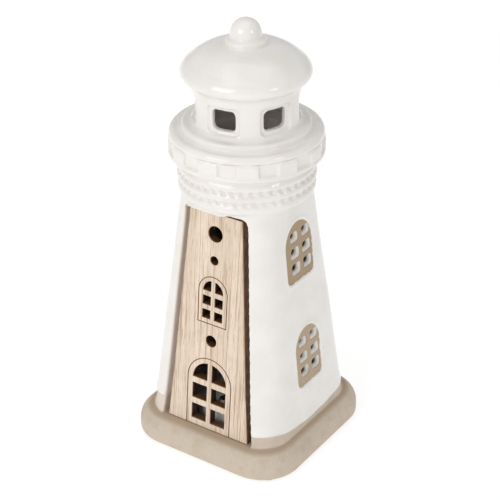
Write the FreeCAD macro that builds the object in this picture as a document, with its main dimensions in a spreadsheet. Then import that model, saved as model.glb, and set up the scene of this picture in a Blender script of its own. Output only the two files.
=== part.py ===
import FreeCAD, Part
import math
import os
import Sketcher

# A ceramic lighthouse ornament with a plywood front and a battery light unit in its base.
# +Z is up, the wooden front faces -Y, and the origin is under the middle of the base, on the
# surface that the felt pads stand on. Millimetres throughout.

DIMENSIONS = [
    # plinth
    ("plinth_width", 60.0, "width and depth of the square plinth"),
    ("plinth_height", 9.06, "height of the plinth"),
    ("plinth_corner", 13.5, "corner radius of the plinth in plan"),
    ("plinth_top_round", 5.6, "rounding of the plinth's top edge"),
    ("plinth_foot_round", 1.2, "rounding of the plinth's bottom edge"),
    ("foot_hollow_radius", 25.0, "radius of the hollow under the plinth"),
    ("foot_hollow_depth", 2.9, "depth of the hollow under the plinth"),
    ("floor_top", 6.2, "height of the tower's inside floor"),
    ("unit_hole_radius", 19.3, "radius of the hole that the light unit goes into"),
    # tower
    ("tower_low_half", 25.7, "half width of the tower where it leaves the plinth"),
    ("tower_high_half", 18.1, "half width of the tower under the ropes"),
    ("tower_high_level", 87.06, "height at which tower_high_half is measured"),
    ("tower_low_corner", 11.2, "corner radius of the tower at its foot"),
    ("tower_high_corner", 11.6, "corner radius of the tower at its top"),
    ("tower_sink", 4.0, "how far the tower reaches into the plinth and the ropes"),
    ("wall", 3.8, "wall of the casting"),
    # front opening and panel
    ("panel_low_half", 15.55, "half width of the panel at its foot"),
    ("panel_bend_level", 17.0, "distance up the panel at which its sides straighten"),
    ("panel_bend_half", 14.0, "half width of the panel there"),
    ("panel_high_half", 9.65, "half width of the panel at its top"),
    ("panel_length", 76.4, "length of the panel up its slope"),
    ("panel_thickness", 3.0, "thickness of the plywood"),
    ("panel_setback", 1.5, "how far the panel's face lies behind the tower's face"),
    ("panel_gap", 2.05, "gap between the panel and the sides of its recess"),
    ("recess_corner", 2.2, "radius of the recess's upper corners"),
    ("seat_depth", 0.35, "depth of the groove that the panel's foot stands in"),
    ("glue_gap", 0.25, "thickness of the glue behind the panel"),
    ("ledge_wall", 3.0, "wall of the ledge behind the panel"),
    ("ledge_width", 3.2, "how far the ledge reaches in behind the panel's edge"),
    ("score_width", 0.35, "width of the scored outlines on the panel"),
    ("score_depth", 0.45, "depth of the scored outlines"),
    ("door_low", 2.1, "bottom of the door's lowest panes, up the panel"),
    ("door_pane_half", 6.5, "half width of the door's glazed area"),
    ("door_bar_half", 0.78, "half width of the door's upright bar"),
    ("door_pane_height", 5.6, "height of the door's lower panes"),
    ("door_pane_pitch", 7.65, "spacing of the door's panes"),
    ("door_line_half", 8.4, "half width of the door's outline"),
    ("loft_low", 39.75, "bottom of the upper window's lowest panes, up the panel"),
    ("loft_pane_half", 3.85, "half width of the upper window's glazed area"),
    ("loft_bar_half", 0.7, "half width of the upper window's upright bar"),
    ("loft_pane_height", 3.2, "height of the upper window's lower panes"),
    ("loft_pane_pitch", 4.85, "spacing of the upper window's panes"),
    ("loft_line_half", 5.4, "half width of the upper window's outline"),
    ("loft_line_low", 38.2, "bottom of the upper window's outline"),
    ("porthole_low_level", 32.2, "height of the round hole over the door"),
    ("porthole_low_radius", 2.05, "its radius"),
    ("porthole_mid_level", 60.5, "height of the small round hole"),
    ("porthole_mid_radius", 1.55, "its radius"),
    ("porthole_high_level", 69.5, "height of the top round hole"),
    ("porthole_high_radius", 2.7, "its radius"),
    # side windows, cut through the two side walls
    ("side_hole_width", 4.3, "width of one cut hole at the tower's face"),
    ("side_hole_height", 3.4, "height of one cut hole there"),
    ("side_hole_taper", 13.0, "slope of the holes' walls in degrees: they narrow inwards"),
    ("side_middle", 1.1, "distance of the holes' middle behind the middle of the side"),
    ("side_column", 3.2, "distance of a column of holes from their middle"),
    ("side_row_pitch", 5.45, "spacing of the rows"),
    ("side_low_level", 27.9, "centre of the lowest row of the lower window"),
    ("side_high_level", 65.0, "centre of the lowest row of the upper window"),
    # rope rings
    ("rope_radius", 21.8, "outer radius of the rope rings"),
    ("rope_groove_radius", 20.7, "radius at the grooves between them"),
    ("rope_low", 87.4, "bottom of the lowest ring"),
    ("rope_groove_low", 91.7, "lower groove"),
    ("rope_groove_high", 95.3, "upper groove"),
    ("rope_high", 98.2, "top of the highest ring"),
    # gallery
    ("band_radius", 23.4, "radius of the gallery's band between its blocks"),
    ("gallery_radius", 24.3, "radius of the gallery's rims"),
    ("gallery_foot", 100.4, "height of the gallery's lower rim"),
    ("band_low", 101.9, "bottom of the band of blocks"),
    ("band_high", 106.1, "top of the band of blocks"),
    ("gallery_top", 108.6, "top of the gallery's lip"),
    ("block_count", 12, "blocks round the gallery"),
    ("block_width", 6.6, "width of one block"),
    ("block_turn", 5.0, "turn of the blocks from the sides"),
    ("step_radius", 20.0, "radius of the step under the lantern"),
    ("step_level", 110.9, "foot of the lantern wall"),
    # lantern
    ("lantern_radius", 16.7, "outer radius of the lantern"),
    ("lantern_inside", 13.6, "inner radius of the lantern"),
    ("lantern_high", 121.8, "top of the lantern wall"),
    ("window_count", 6, "windows round the lantern"),
    ("window_width", 7.5, "width of a lantern window"),
    ("window_low", 112.9, "sill of the lantern windows"),
    ("window_height", 6.6, "height of the lantern windows"),
    ("window_corner", 1.6, "corner radius of the lantern windows"),
    ("window_turn", 8.0, "turn of the first window from the front"),
    ("frame_side", 1.6, "width of the sunk frame at the sides of each lantern window"),
    ("frame_rise", 1.15, "width of the sunk frame over and under each lantern window"),
    ("frame_radius", 15.65, "radius at the bottom of the sunk frames"),
    # dome and ball
    ("eave_radius", 19.1, "radius of the dome's lower lip"),
    ("eave_level", 125.0, "height of that lip"),
    ("dome_radius", 19.5, "radius at the start of the dome"),
    ("dome_level", 128.2, "height at the start of the dome"),
    ("crown_radius", 5.95, "radius at which the dome meets the bead under the ball"),
    ("crown_level", 135.1, "height at which the dome meets the bead"),
    ("dome_rise", 1.85, "how much the dome bulges over a straight slope"),
    ("bead_rise", 1.15, "how far the bead bulges out"),
    ("ball_radius", 4.8, "radius of the ball"),
    ("ball_level", 138.4, "height of the ball's centre"),
    ("ball_sink", 1.6, "how far under its centre the ball meets the bead"),
    # light unit
    ("unit_radius", 18.2, "outer radius of the light unit's cup"),
    ("unit_wall", 1.4, "wall of the light unit"),
    ("flange_radius", 23.0, "radius of the light unit's flange"),
    ("flange_low", 0.85, "underside of the flange above the plinth's underside"),
    ("flange_thickness", 2.0, "thickness of the flange"),
    ("cup_top", 13.4, "top edge of the light unit's cup"),
    ("cover_thickness", 1.3, "thickness of the light unit's cover"),
    ("well_offset", 4.5, "distance of the battery well from the middle"),
    ("cell_radius", 10.0, "radius of the coin cell"),
    ("cell_thickness", 3.2, "thickness of the coin cell"),
    ("well_clearance", 0.3, "space round the coin cell"),
    ("board_level", 9.4, "underside of the circuit board"),
    ("board_thickness", 1.2, "thickness of the circuit board"),
    ("board_length", 24.4, "length of the circuit board"),
    ("board_width", 20.2, "width of the circuit board"),
    ("boss_offset", 14.3, "distance of the screw bosses from the middle"),
    ("boss_radius", 2.3, "radius of the screw bosses"),
    ("screw_radius", 1.0, "radius of the small screws"),
    ("screw_head_radius", 1.9, "radius of their heads"),
    ("switch_offset", 11.0, "distance of the switch from the middle"),
    ("switch_travel", 2.5, "travel of the switch"),
    ("knob_width", 1.6, "width of the switch knob"),
    ("knob_length", 3.0, "length of the switch knob"),
    ("lamp_radius", 2.5, "radius of the LED"),
    ("lamp_height", 8.6, "height of the LED"),
    ("door_thickness", 1.6, "thickness of the battery door"),
    ("door_radius", 11.6, "radius of the battery door over the well"),
    ("door_gap", 0.15, "gap round the battery door"),
    ("door_screw_x", 6.6, "place of the door's screw along X"),
    ("door_screw_y", 10.6, "place of the door's screw along Y"),
    ("lug_radius", 2.9, "radius of the door's lug round its screw"),
    # feet
    ("pad_radius", 3.5, "radius of a felt pad"),
    ("pad_thickness", 0.8, "thickness of a felt pad"),
    ("pad_offset", 22.4, "distance of the pads from the middle, both ways"),
]

ARCH_RISE = 0.98  # rise of a round arch over its half width
CORNER_ARC = 1 - math.sqrt(0.5)  # rise of a quarter circle over its chord, per radius


class Size:
    """A number together with the spreadsheet formula that gives it."""

    def __init__(self, value, formula=None):
        self.value = float(value)
        self.formula = formula if formula else f"{value:.12g}"

    def combine(self, other, sign, value):
        return Size(value, f"({self.formula} {sign} {other.formula})")

    def __add__(self, other):
        other = as_size(other)
        return self.combine(other, "+", self.value + other.value)

    def __sub__(self, other):
        other = as_size(other)
        return self.combine(other, "-", self.value - other.value)

    def __mul__(self, other):
        other = as_size(other)
        return self.combine(other, "*", self.value * other.value)

    def __truediv__(self, other):
        other = as_size(other)
        return self.combine(other, "/", self.value / other.value)

    def __neg__(self):
        return self * -1

    def root(self):
        return Size(math.sqrt(self.value), f"sqrt({self.formula})")


def as_size(number):
    return number if isinstance(number, Size) else Size(number)


class Sheet:
    """The driving dimensions, read by name."""

    def __init__(self, document, rows):
        self.object = document.addObject("Spreadsheet::Sheet", "dims")
        for number, (alias, value, note) in enumerate(rows, start=1):
            self.object.set(f"A{number}", alias)
            self.object.set(f"B{number}", str(value))
            self.object.set(f"C{number}", note)
            self.object.setAlias(f"B{number}", alias)
        document.recompute()

    def __getattr__(self, alias):
        return Size(getattr(self.object, alias), f"dims.{alias}")


doc = FreeCAD.newDocument("lighthouse")
dims = Sheet(doc, DIMENSIONS)
nodes = []


# ---------------------------------------------------------------- helpers

def bind(item, **sizes):
    """Set properties of an object from sizes and keep them tied to the spreadsheet."""
    for name, size in sizes.items():
        size = as_size(size)
        setattr(item, name, size.value)
        item.setExpression(name, size.formula)


def place(item, x=0, y=0, z=0, turn=0, axis=(0, 0, 1)):
    """Put an object at a point, turned about an axis, and tie the point to the spreadsheet."""
    x, y, z = as_size(x), as_size(y), as_size(z)
    rotation = FreeCAD.Rotation(FreeCAD.Vector(*axis), turn)
    item.Placement = FreeCAD.Placement(FreeCAD.Vector(x.value, y.value, z.value), rotation)
    for letter, size in (("x", x), ("y", y), ("z", z)):
        item.setExpression(f".Placement.Base.{letter}", size.formula)


def new_body(name):
    return doc.addObject("PartDesign::Body", name)


def sketch_on(body, name, role="XY_Plane", height=0, tilt=0):
    """A sketch on one of the body's own origin planes, raised along its normal and tilted."""
    sketch = body.newObject("Sketcher::SketchObject", name)
    plane = next(item for item in body.Origin.OriginFeatures if item.Role == role)
    sketch.AttachmentSupport = [(plane, "")]
    sketch.MapMode = "FlatFace"
    height = as_size(height)
    turn = FreeCAD.Rotation(FreeCAD.Vector(1, 0, 0), tilt)
    sketch.AttachmentOffset = FreeCAD.Placement(FreeCAD.Vector(0, 0, height.value), turn)
    sketch.setExpression(".AttachmentOffset.Base.z", height.formula)
    return sketch


def fix_point(sketch, item, position, x, y):
    """Hold one point of a sketch at x, y, measured from the sketch's origin."""
    for kind, size, axis in (("DistanceX", x, -2), ("DistanceY", y, -1)):
        if size.value == 0:
            sketch.addConstraint(Sketcher.Constraint("PointOnObject", item, position, axis))
            continue
        number = sketch.addConstraint(
            Sketcher.Constraint(kind, -1, 1, item, position, size.value))
        sketch.setExpression(f"Constraints[{number}]", size.formula)


def outline(sketch, points):
    """A closed outline. Each point is (x, y) or (x, y, rise): the edge from a point with a rise
    is an arc that stands that far to the right of the straight line to the next point."""
    corners = []
    for point in points:
        x, y, rise = (*point, 0)[:3]
        corners.append((as_size(x), as_size(y), as_size(rise)))
    edges = []
    for index, (x, y, rise) in enumerate(corners):
        next_x, next_y, _ = corners[(index + 1) % len(corners)]
        start = FreeCAD.Vector(x.value, y.value, 0)
        end = FreeCAD.Vector(next_x.value, next_y.value, 0)
        if rise.value == 0:
            item = sketch.addGeometry(Part.LineSegment(start, end))
            edges.append((item, 1, 2))
            continue
        along = end - start
        right = FreeCAD.Vector(along.y, -along.x, 0).normalize()
        middle = (start + end) * 0.5 + right * rise.value
        item = sketch.addGeometry(Part.Arc(start, middle, end))
        forward = (sketch.getPoint(item, 1) - start).Length < (sketch.getPoint(item, 2) - start).Length
        edges.append((item, 1, 2) if forward else (item, 2, 1))
        span = (next_x - x) * (next_x - x) + (next_y - y) * (next_y - y)
        rise_size = as_size(abs(rise.value)) if rise.value < 0 else rise
        radius = (span / 4 + rise_size * rise_size) / (rise_size * 2)
        number = sketch.addConstraint(Sketcher.Constraint("Radius", item, radius.value))
        sketch.setExpression(f"Constraints[{number}]", radius.formula)
    for index, (item, first, _) in enumerate(edges):
        before, _, last = edges[index - 1]
        sketch.addConstraint(Sketcher.Constraint("Coincident", before, last, item, first))
        x, y, _ = corners[index]
        fix_point(sketch, item, first, x, y)


def arc_rise(radius, across, along):
    """How far an arc of this radius stands off its chord, which spans across and along."""
    chord_squared = across * across + along * along
    return radius - (radius * radius - chord_squared / 4).root()


def circle(sketch, x, y, radius):
    x, y, radius = as_size(x), as_size(y), as_size(radius)
    centre = FreeCAD.Vector(x.value, y.value, 0)
    item = sketch.addGeometry(Part.Circle(centre, FreeCAD.Vector(0, 0, 1), radius.value))
    fix_point(sketch, item, 3, x, y)
    number = sketch.addConstraint(Sketcher.Constraint("Radius", item, radius.value))
    sketch.setExpression(f"Constraints[{number}]", radius.formula)


def rectangle(sketch, low_x, low_y, high_x, high_y):
    outline(sketch, [(low_x, low_y), (high_x, low_y), (high_x, high_y), (low_x, high_y)])


def rounded_square(sketch, half, corner, front=None):
    """A square with round corners. front moves the side towards -Y to its own distance."""
    half, corner = as_size(half), as_size(corner)
    front = half if front is None else as_size(front)
    inner = half - corner
    rise = corner * CORNER_ARC
    outline(sketch, [
        (-inner, -front), (inner, -front, rise),
        (half, corner - front), (half, inner, rise),
        (inner, half), (-inner, half, rise),
        (-half, inner), (-half, corner - front, rise),
    ])


def pad(body, sketch, length, backward=False, both=False):
    feature = body.newObject("PartDesign::Pad", sketch.Name + "_pad")
    feature.Profile = sketch
    feature.Reversed = backward
    feature.Midplane = both
    bind(feature, Length=length)
    doc.recompute()
    return feature


def pocket(body, sketch, length, backward=False, both=False):
    """Cut a sketch into the body, and make sure that it cuts something."""
    before = body.Shape.Volume
    feature = body.newObject("PartDesign::Pocket", sketch.Name + "_cut")
    feature.Profile = sketch
    feature.Reversed = backward
    feature.Midplane = both
    bind(feature, Length=length)
    doc.recompute()
    if body.Shape.Volume > before - 1e-6:
        raise RuntimeError(f"{feature.Name} cuts nothing")
    return feature


def revolve(body, sketch):
    """Turn a sketch on the XZ plane about the body's Z axis."""
    feature = body.newObject("PartDesign::Revolution", sketch.Name + "_turned")
    feature.Profile = sketch
    feature.ReferenceAxis = (sketch, ["V_Axis"])
    feature.Angle = 360
    doc.recompute()
    return feature


def loft(body, low_sketch, high_sketch):
    feature = body.newObject("PartDesign::AdditiveLoft", low_sketch.Name + "_loft")
    feature.Profile = low_sketch
    feature.Sections = [high_sketch]
    feature.Ruled = True
    doc.recompute()
    return feature


def repeat_round(body, feature, count):
    pattern = body.newObject("PartDesign::PolarPattern", feature.Name + "_round")
    pattern.Originals = [feature]
    axis = next(item for item in body.Origin.OriginFeatures if item.Role == "Z_Axis")
    pattern.Axis = (axis, [""])
    pattern.Angle = 360
    pattern.Occurrences = int(count.value)
    pattern.setExpression("Occurrences", count.formula)
    body.Tip = pattern
    doc.recompute()
    return pattern


def cylinder(name, radius, height, x=0, y=0, z=0):
    item = doc.addObject("Part::Cylinder", name)
    bind(item, Radius=radius, Height=height)
    place(item, x, y, z)
    return item


def box(name, x, y, z, length, width, height):
    """A box centred on x, y that stands on z."""
    item = doc.addObject("Part::Box", name)
    bind(item, Length=length, Width=width, Height=height)
    place(item, as_size(x) - as_size(length) / 2, as_size(y) - as_size(width) / 2, z)
    return item


def joined(name, items):
    fused = doc.addObject("Part::MultiFuse", name)
    fused.Shapes = items
    fused.Refine = True
    return fused


def cut(name, base, tool):
    result = doc.addObject("Part::Cut", name)
    result.Base = base
    result.Tool = tool
    return result


def group(name, items):
    """Several separate solids of one kind as one sub-part."""
    compound = doc.addObject("Part::Compound", name)
    compound.Links = items
    return compound


def node(item, name, lift=True):
    """Name a finished sub-part, and stand it on the felt pads."""
    item.Label = name
    if lift:
        place(item, z=dims.pad_thickness)
    nodes.append(item)
    return item


# ---------------------------------------------------------------- the tower's slope

tower_taper = (dims.tower_low_half - dims.tower_high_half) / (dims.tower_high_level - dims.plinth_height)
LEAN = math.degrees(math.atan(tower_taper.value))


def tower_half(level):
    """Half width of the tower at a height."""
    return dims.tower_low_half - tower_taper * (as_size(level) - dims.plinth_height)


# ---------------------------------------------------------------- ceramic body

def plinth():
    body = new_body("plinth")
    sketch = sketch_on(body, "plinth_plan")
    rounded_square(sketch, dims.plinth_width / 2, dims.plinth_corner)
    block = pad(body, sketch, dims.plinth_height)

    def edges_at(level):
        names = []
        for number, edge in enumerate(body.Shape.Edges, start=1):
            if all(abs(vertex.Z - level.value) < 1e-6 for vertex in edge.Vertexes):
                names.append(f"Edge{number}")
        return names

    top = body.newObject("PartDesign::Fillet", "plinth_top_round")
    top.Base = (block, edges_at(dims.plinth_height))
    bind(top, Radius=dims.plinth_top_round)
    doc.recompute()
    foot = body.newObject("PartDesign::Fillet", "plinth_foot_round")
    foot.Base = (top, edges_at(Size(0)))
    bind(foot, Radius=dims.plinth_foot_round)
    doc.recompute()
    return body


def panel_half(level):
    """Half width of the panel at a distance up its slope, beyond its bend."""
    slope = (dims.panel_bend_half - dims.panel_high_half) / (dims.panel_length - dims.panel_bend_level)
    return dims.panel_bend_half - slope * (as_size(level) - dims.panel_bend_level)


def panel_outline(sketch, low, high, margin, corner=None):
    """The panel's shape from low to high up its slope, made wider by a margin."""
    flare = (dims.panel_low_half - dims.panel_bend_half) / dims.panel_bend_level
    low_half = dims.panel_bend_half + flare * (dims.panel_bend_level - as_size(low)) + margin
    bend_half = dims.panel_bend_half + margin
    high_half = panel_half(high) + margin
    bend = dims.panel_bend_level
    right = [(low_half, low), (bend_half, bend)]
    left = [(-bend_half, bend), (-low_half, low)]
    if corner is None:
        top = [(high_half, high), (-high_half, high)]
    else:
        high, rise = as_size(high), corner * CORNER_ARC
        top = [(high_half, high - corner, rise), (high_half - corner, high),
               (corner - high_half, high, rise), (-high_half, high - corner)]
    outline(sketch, right + top + left)


def front_plane(body, name, depth):
    """A sketch parallel to the tower's sloping front, a depth behind it. Its origin is level with
    the plinth's top, and its Y runs up the slope."""
    sketch = sketch_on(body, name, "XZ_Plane")
    angle = math.radians(LEAN)
    depth = as_size(depth)
    forward = dims.tower_low_half - depth * math.cos(angle)
    level = dims.plinth_height - depth * math.sin(angle)
    turn = FreeCAD.Rotation(FreeCAD.Vector(1, 0, 0), -LEAN)
    offset = FreeCAD.Vector(0, level.value, forward.value)
    sketch.AttachmentOffset = FreeCAD.Placement(offset, turn)
    sketch.setExpression(".AttachmentOffset.Base.y", level.formula)
    sketch.setExpression(".AttachmentOffset.Base.z", forward.formula)
    return sketch


def recess_depth():
    return dims.panel_setback + dims.panel_thickness + dims.glue_gap


def tower():
    body = new_body("tower")
    low_level = dims.plinth_height - dims.tower_sink
    high_level = dims.tower_high_level + dims.tower_sink
    low = sketch_on(body, "tower_foot", height=low_level)
    rounded_square(low, tower_half(low_level), dims.tower_low_corner)
    high = sketch_on(body, "tower_head", height=high_level)
    rounded_square(high, tower_half(high_level), dims.tower_high_corner)
    loft(body, low, high)
    recess = front_plane(body, "panel_recess", recess_depth())
    panel_outline(recess, -6, dims.panel_length + 1.2, dims.panel_gap, dims.recess_corner)
    pocket(body, recess, 15, backward=True)
    return body


def head():
    """Everything turned about the axis: rope rings, gallery, lantern, dome, bead and ball."""
    body = new_body("head")
    sketch = sketch_on(body, "head_profile", "XZ_Plane")
    ball_foot = (dims.ball_radius * dims.ball_radius - dims.ball_sink * dims.ball_sink).root()
    ball_rise = arc_rise(dims.ball_radius, ball_foot, dims.ball_radius + dims.ball_sink)
    outline(sketch, [
        (0, dims.rope_low),
        (dims.rope_groove_radius - 1.2, dims.rope_low, 1.45),
        (dims.rope_groove_radius, dims.rope_groove_low, dims.rope_radius - dims.rope_groove_radius),
        (dims.rope_groove_radius, dims.rope_groove_high, 0.95),
        (dims.rope_groove_radius + 0.2, dims.rope_high, -0.7),
        (dims.gallery_radius - 0.2, dims.gallery_foot, 0.25),
        (dims.gallery_radius - 0.2, dims.band_low),
        (dims.band_radius, dims.band_low + 0.3),
        (dims.band_radius, dims.band_high - 0.3),
        (dims.gallery_radius - 0.5, dims.band_high, 0.75),
        (dims.gallery_radius - 1.8, dims.gallery_top, -0.15),
        (dims.step_radius + 0.6, dims.gallery_top - 0.1),
        (dims.step_radius, dims.gallery_top + 0.5, 0.6),
        (dims.step_radius - 1.2, dims.step_level - 0.3, -0.3),
        (dims.lantern_radius, dims.step_level + 0.6, -0.25),
        (dims.lantern_radius, dims.lantern_high, -0.6),
        (dims.eave_radius, dims.eave_level, 0.7),
        (dims.dome_radius, dims.dome_level, dims.dome_rise),
        (dims.crown_radius, dims.crown_level, dims.bead_rise),
        (ball_foot, dims.ball_level - dims.ball_sink, ball_rise),
        (0, dims.ball_level + dims.ball_radius),
    ])
    revolve(body, sketch)
    return body


def gallery_blocks():
    """Low blocks round the gallery's band."""
    body = new_body("gallery_blocks")
    sketch = sketch_on(body, "gallery_block", height=dims.band_low + 0.45)
    rectangle(sketch, dims.band_radius - 1.5, -dims.block_width / 2,
              dims.gallery_radius - 0.15, dims.block_width / 2)
    block = pad(body, sketch, dims.band_high - dims.band_low - 0.9)
    repeat_round(body, block, dims.block_count)
    place(body, turn=dims.block_turn.value)
    return body


def tower_hollow():
    """The space inside the tower, from the floor to the ropes. Its front is the ledge's back."""
    body = new_body("tower_hollow")
    ledge = recess_depth() + dims.ledge_wall
    low = sketch_on(body, "hollow_foot", height=dims.floor_top)
    low_half = tower_half(dims.floor_top)
    rounded_square(low, low_half - dims.wall, dims.tower_low_corner - dims.wall, low_half - ledge)
    high = sketch_on(body, "hollow_head", height=dims.rope_low)
    high_half = tower_half(dims.rope_low)
    rounded_square(high, high_half - dims.wall, dims.tower_high_corner - dims.wall, high_half - ledge)
    loft(body, low, high)
    return body


def head_hollow():
    """The space inside the ropes, gallery, lantern and dome."""
    body = new_body("head_hollow")
    sketch = sketch_on(body, "head_hollow_profile", "XZ_Plane")
    neck = Size(10.2)
    outline(sketch, [
        (0, dims.rope_low - 0.5),
        (neck, dims.rope_low - 0.5),
        (dims.rope_groove_radius - dims.wall + 0.6, dims.rope_groove_low + 1),
        (dims.rope_groove_radius - dims.wall + 0.6, dims.rope_high),
        (dims.band_radius - dims.wall + 0.6, dims.band_low),
        (dims.band_radius - dims.wall + 0.6, dims.band_high - 1),
        (dims.lantern_inside, dims.step_level - 2),
        (dims.lantern_inside, dims.lantern_high + 0.5),
        (dims.eave_radius - dims.wall, dims.eave_level + 1, 1.2),
        (dims.crown_radius, dims.crown_level - dims.wall),
        (0, dims.crown_level - dims.wall + 0.3),
    ])
    revolve(body, sketch)
    return body


def front_opening():
    """The opening behind the panel, smaller than the panel by the ledge."""
    body = new_body("front_opening")
    sketch = front_plane(body, "front_opening_shape", recess_depth() + dims.ledge_wall + 1)
    panel_outline(sketch, 0.6, dims.panel_length - dims.ledge_width, -dims.ledge_width)
    pad(body, sketch, dims.ledge_wall + 3)
    return body


def panel_seat():
    """The shallow groove in the plinth's top that the panel's foot stands in."""
    body = new_body("panel_seat")
    sketch = sketch_on(body, "panel_seat_shape", height=dims.plinth_height - dims.seat_depth)
    front = dims.panel_setback - dims.tower_low_half - 0.1
    half = dims.panel_low_half + 0.3
    rectangle(sketch, -half, front, half, front + dims.panel_thickness + 0.3)
    pad(body, sketch, dims.seat_depth + 0.5)
    return body


def window_shapes(name, side, rise):
    """Blocks the shape of the lantern windows, made wider and taller, and repeated all round."""
    body = new_body(name)
    sketch = sketch_on(body, f"{name}_shape", "XZ_Plane", height=dims.lantern_inside - 4)
    half = dims.window_width / 2 + side
    low = dims.window_low - rise
    high = dims.window_low + dims.window_height + rise
    corner = dims.window_corner
    bulge = corner * CORNER_ARC
    outline(sketch, [
        (corner - half, low), (half - corner, low, bulge),
        (half, low + corner), (half, high - corner, bulge),
        (half - corner, high), (corner - half, high, bulge),
        (-half, high - corner), (-half, low + corner, bulge),
    ])
    window = pad(body, sketch, dims.lantern_radius)
    repeat_round(body, window, dims.window_count)
    place(body, turn=dims.window_turn.value)
    return body


def lantern_windows():
    return window_shapes("lantern_windows", Size(0), Size(0))


def window_frames():
    """The sunk frame round each lantern window, which keeps outside the frames' own radius."""
    blocks = window_shapes("frame_blocks", dims.frame_side, dims.frame_rise)
    core = cylinder("frame_core", dims.frame_radius, 30, z=dims.step_level - 10)
    return cut("window_frames", blocks, core)


def side_holes(lowest, side):
    """Six holes of one window in one side wall. They narrow inwards from the tower's face."""
    name = f"holes_{'right' if side > 0 else 'left'}_{lowest.value:.0f}"
    body = new_body(name)
    face = tower_half(lowest)
    sketch = sketch_on(body, f"{name}_shape", "YZ_Plane", height=face * side)
    half = dims.side_hole_width / 2
    rise = dims.side_hole_height / 2
    for row in range(3):
        level = lowest + dims.side_row_pitch * row
        for column in (-1, 1):
            middle = dims.side_middle + dims.side_column * column
            rectangle(sketch, middle - half, level - rise, middle + half, level + rise)
    cut_in = pad(body, sketch, dims.wall + 3, backward=side > 0)
    bind(cut_in, TaperAngle=-dims.side_hole_taper)
    doc.recompute()
    return body


def ceramic_body():
    outside = joined("ceramic_outside", [plinth(), tower(), head(), gallery_blocks()])
    foot = cylinder("foot_hollow", dims.foot_hollow_radius, dims.foot_hollow_depth + 1, z=-1)
    unit_hole = cylinder("unit_hole", dims.unit_hole_radius, dims.floor_top + 5, z=0.5)
    spaces = [tower_hollow(), head_hollow(), front_opening(), panel_seat(), lantern_windows(),
              window_frames(), foot, unit_hole]
    for lowest in (dims.side_low_level, dims.side_high_level):
        spaces += [side_holes(lowest, -1), side_holes(lowest, 1)]
    hollow = outside
    for number, space in enumerate(spaces):
        hollow = cut(f"ceramic_step_{number}", hollow, space)
    node(hollow, "ceramic_body")


# ---------------------------------------------------------------- front panel

def arched_panes(sketch, low, half, bar, height, pitch):
    """Two columns of panes under one round arch."""
    arch_foot = low + pitch * 2
    arch_rise = (half - bar) * 0.285
    arch_top = arch_foot + half * 0.988
    for side in (-1, 1):
        for row in range(2):
            bottom = low + pitch * row
            inner, outer = bar * side, half * side
            left, right = (inner, outer) if side > 0 else (outer, inner)
            rectangle(sketch, left, bottom, right, bottom + height)
        if side > 0:
            outline(sketch, [(bar, arch_foot), (half, arch_foot, arch_rise), (bar, arch_top)])
        else:
            outline(sketch, [(-bar, arch_foot), (-bar, arch_top, arch_rise), (-half, arch_foot)])


def score_line(body, name, low, arch_foot, half, depth_from_back):
    """A scored outline: the strip between two arches, one inside the other."""
    sketch = sketch_on(body, name, "XZ_Plane")
    for margin in (dims.score_width / 2, -dims.score_width / 2):
        edge = half + margin
        outline(sketch, [(-edge, low - margin), (edge, low - margin), (edge, arch_foot, edge * ARCH_RISE),
                         (-edge, arch_foot)])
    pocket(body, sketch, depth_from_back)


def stand_on_plinth(item):
    """Lean a piece drawn on the panel's face back against the tower, with its foot in the seat."""
    angle = math.radians(LEAN)
    forward = dims.tower_low_half - dims.panel_setback / math.cos(angle)
    level = dims.plinth_height + dims.pad_thickness + 0.05
    place(item, y=-forward, z=level, turn=-LEAN, axis=(1, 0, 0))


def front_panel():
    body = new_body("front_panel")
    sketch = sketch_on(body, "panel_shape", "XZ_Plane")
    panel_outline(sketch, 0, dims.panel_length, 0)
    pad(body, sketch, dims.panel_thickness, backward=True)
    holes = sketch_on(body, "panel_holes", "XZ_Plane")
    arched_panes(holes, dims.door_low, dims.door_pane_half, dims.door_bar_half,
                 dims.door_pane_height, dims.door_pane_pitch)
    arched_panes(holes, dims.loft_low, dims.loft_pane_half, dims.loft_bar_half,
                 dims.loft_pane_height, dims.loft_pane_pitch)
    circle(holes, 0, dims.porthole_low_level, dims.porthole_low_radius)
    circle(holes, 0, dims.porthole_mid_level, dims.porthole_mid_radius)
    circle(holes, 0, dims.porthole_high_level, dims.porthole_high_radius)
    pocket(body, holes, dims.panel_thickness)
    score_line(body, "door_line", Size(-2), dims.door_low + dims.door_pane_pitch * 2,
               dims.door_line_half, dims.score_depth)
    score_line(body, "loft_line", dims.loft_line_low, dims.loft_low + dims.loft_pane_pitch * 2,
               dims.loft_line_half, dims.score_depth)
    node(body, "front_panel", lift=False)
    stand_on_plinth(body)


def panel_glue():
    """Four flat dots between the panel's back and the ledges."""
    dots = []
    for level in (Size(12), Size(62)):
        for side in (-1, 1):
            across = (panel_half(level) - dims.ledge_width / 2) * side
            dot = doc.addObject("Part::Cylinder", "glue_dot")
            bind(dot, Radius=1.3, Height=dims.glue_gap - 0.02)
            place(dot, across, dims.panel_thickness + dims.glue_gap - 0.01, level, 90, (1, 0, 0))
            dots.append(dot)
    item = node(group("panel_glue", dots), "panel_glue", lift=False)
    stand_on_plinth(item)


def foot_pads():
    pads = []
    for side_x in (-1, 1):
        for side_y in (-1, 1):
            pads.append(cylinder("foot_pad", dims.pad_radius, dims.pad_thickness,
                                 dims.pad_offset * side_x, dims.pad_offset * side_y))
    node(group("foot_pads", pads), "foot_pads", lift=False)


# ---------------------------------------------------------------- light unit

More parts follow.
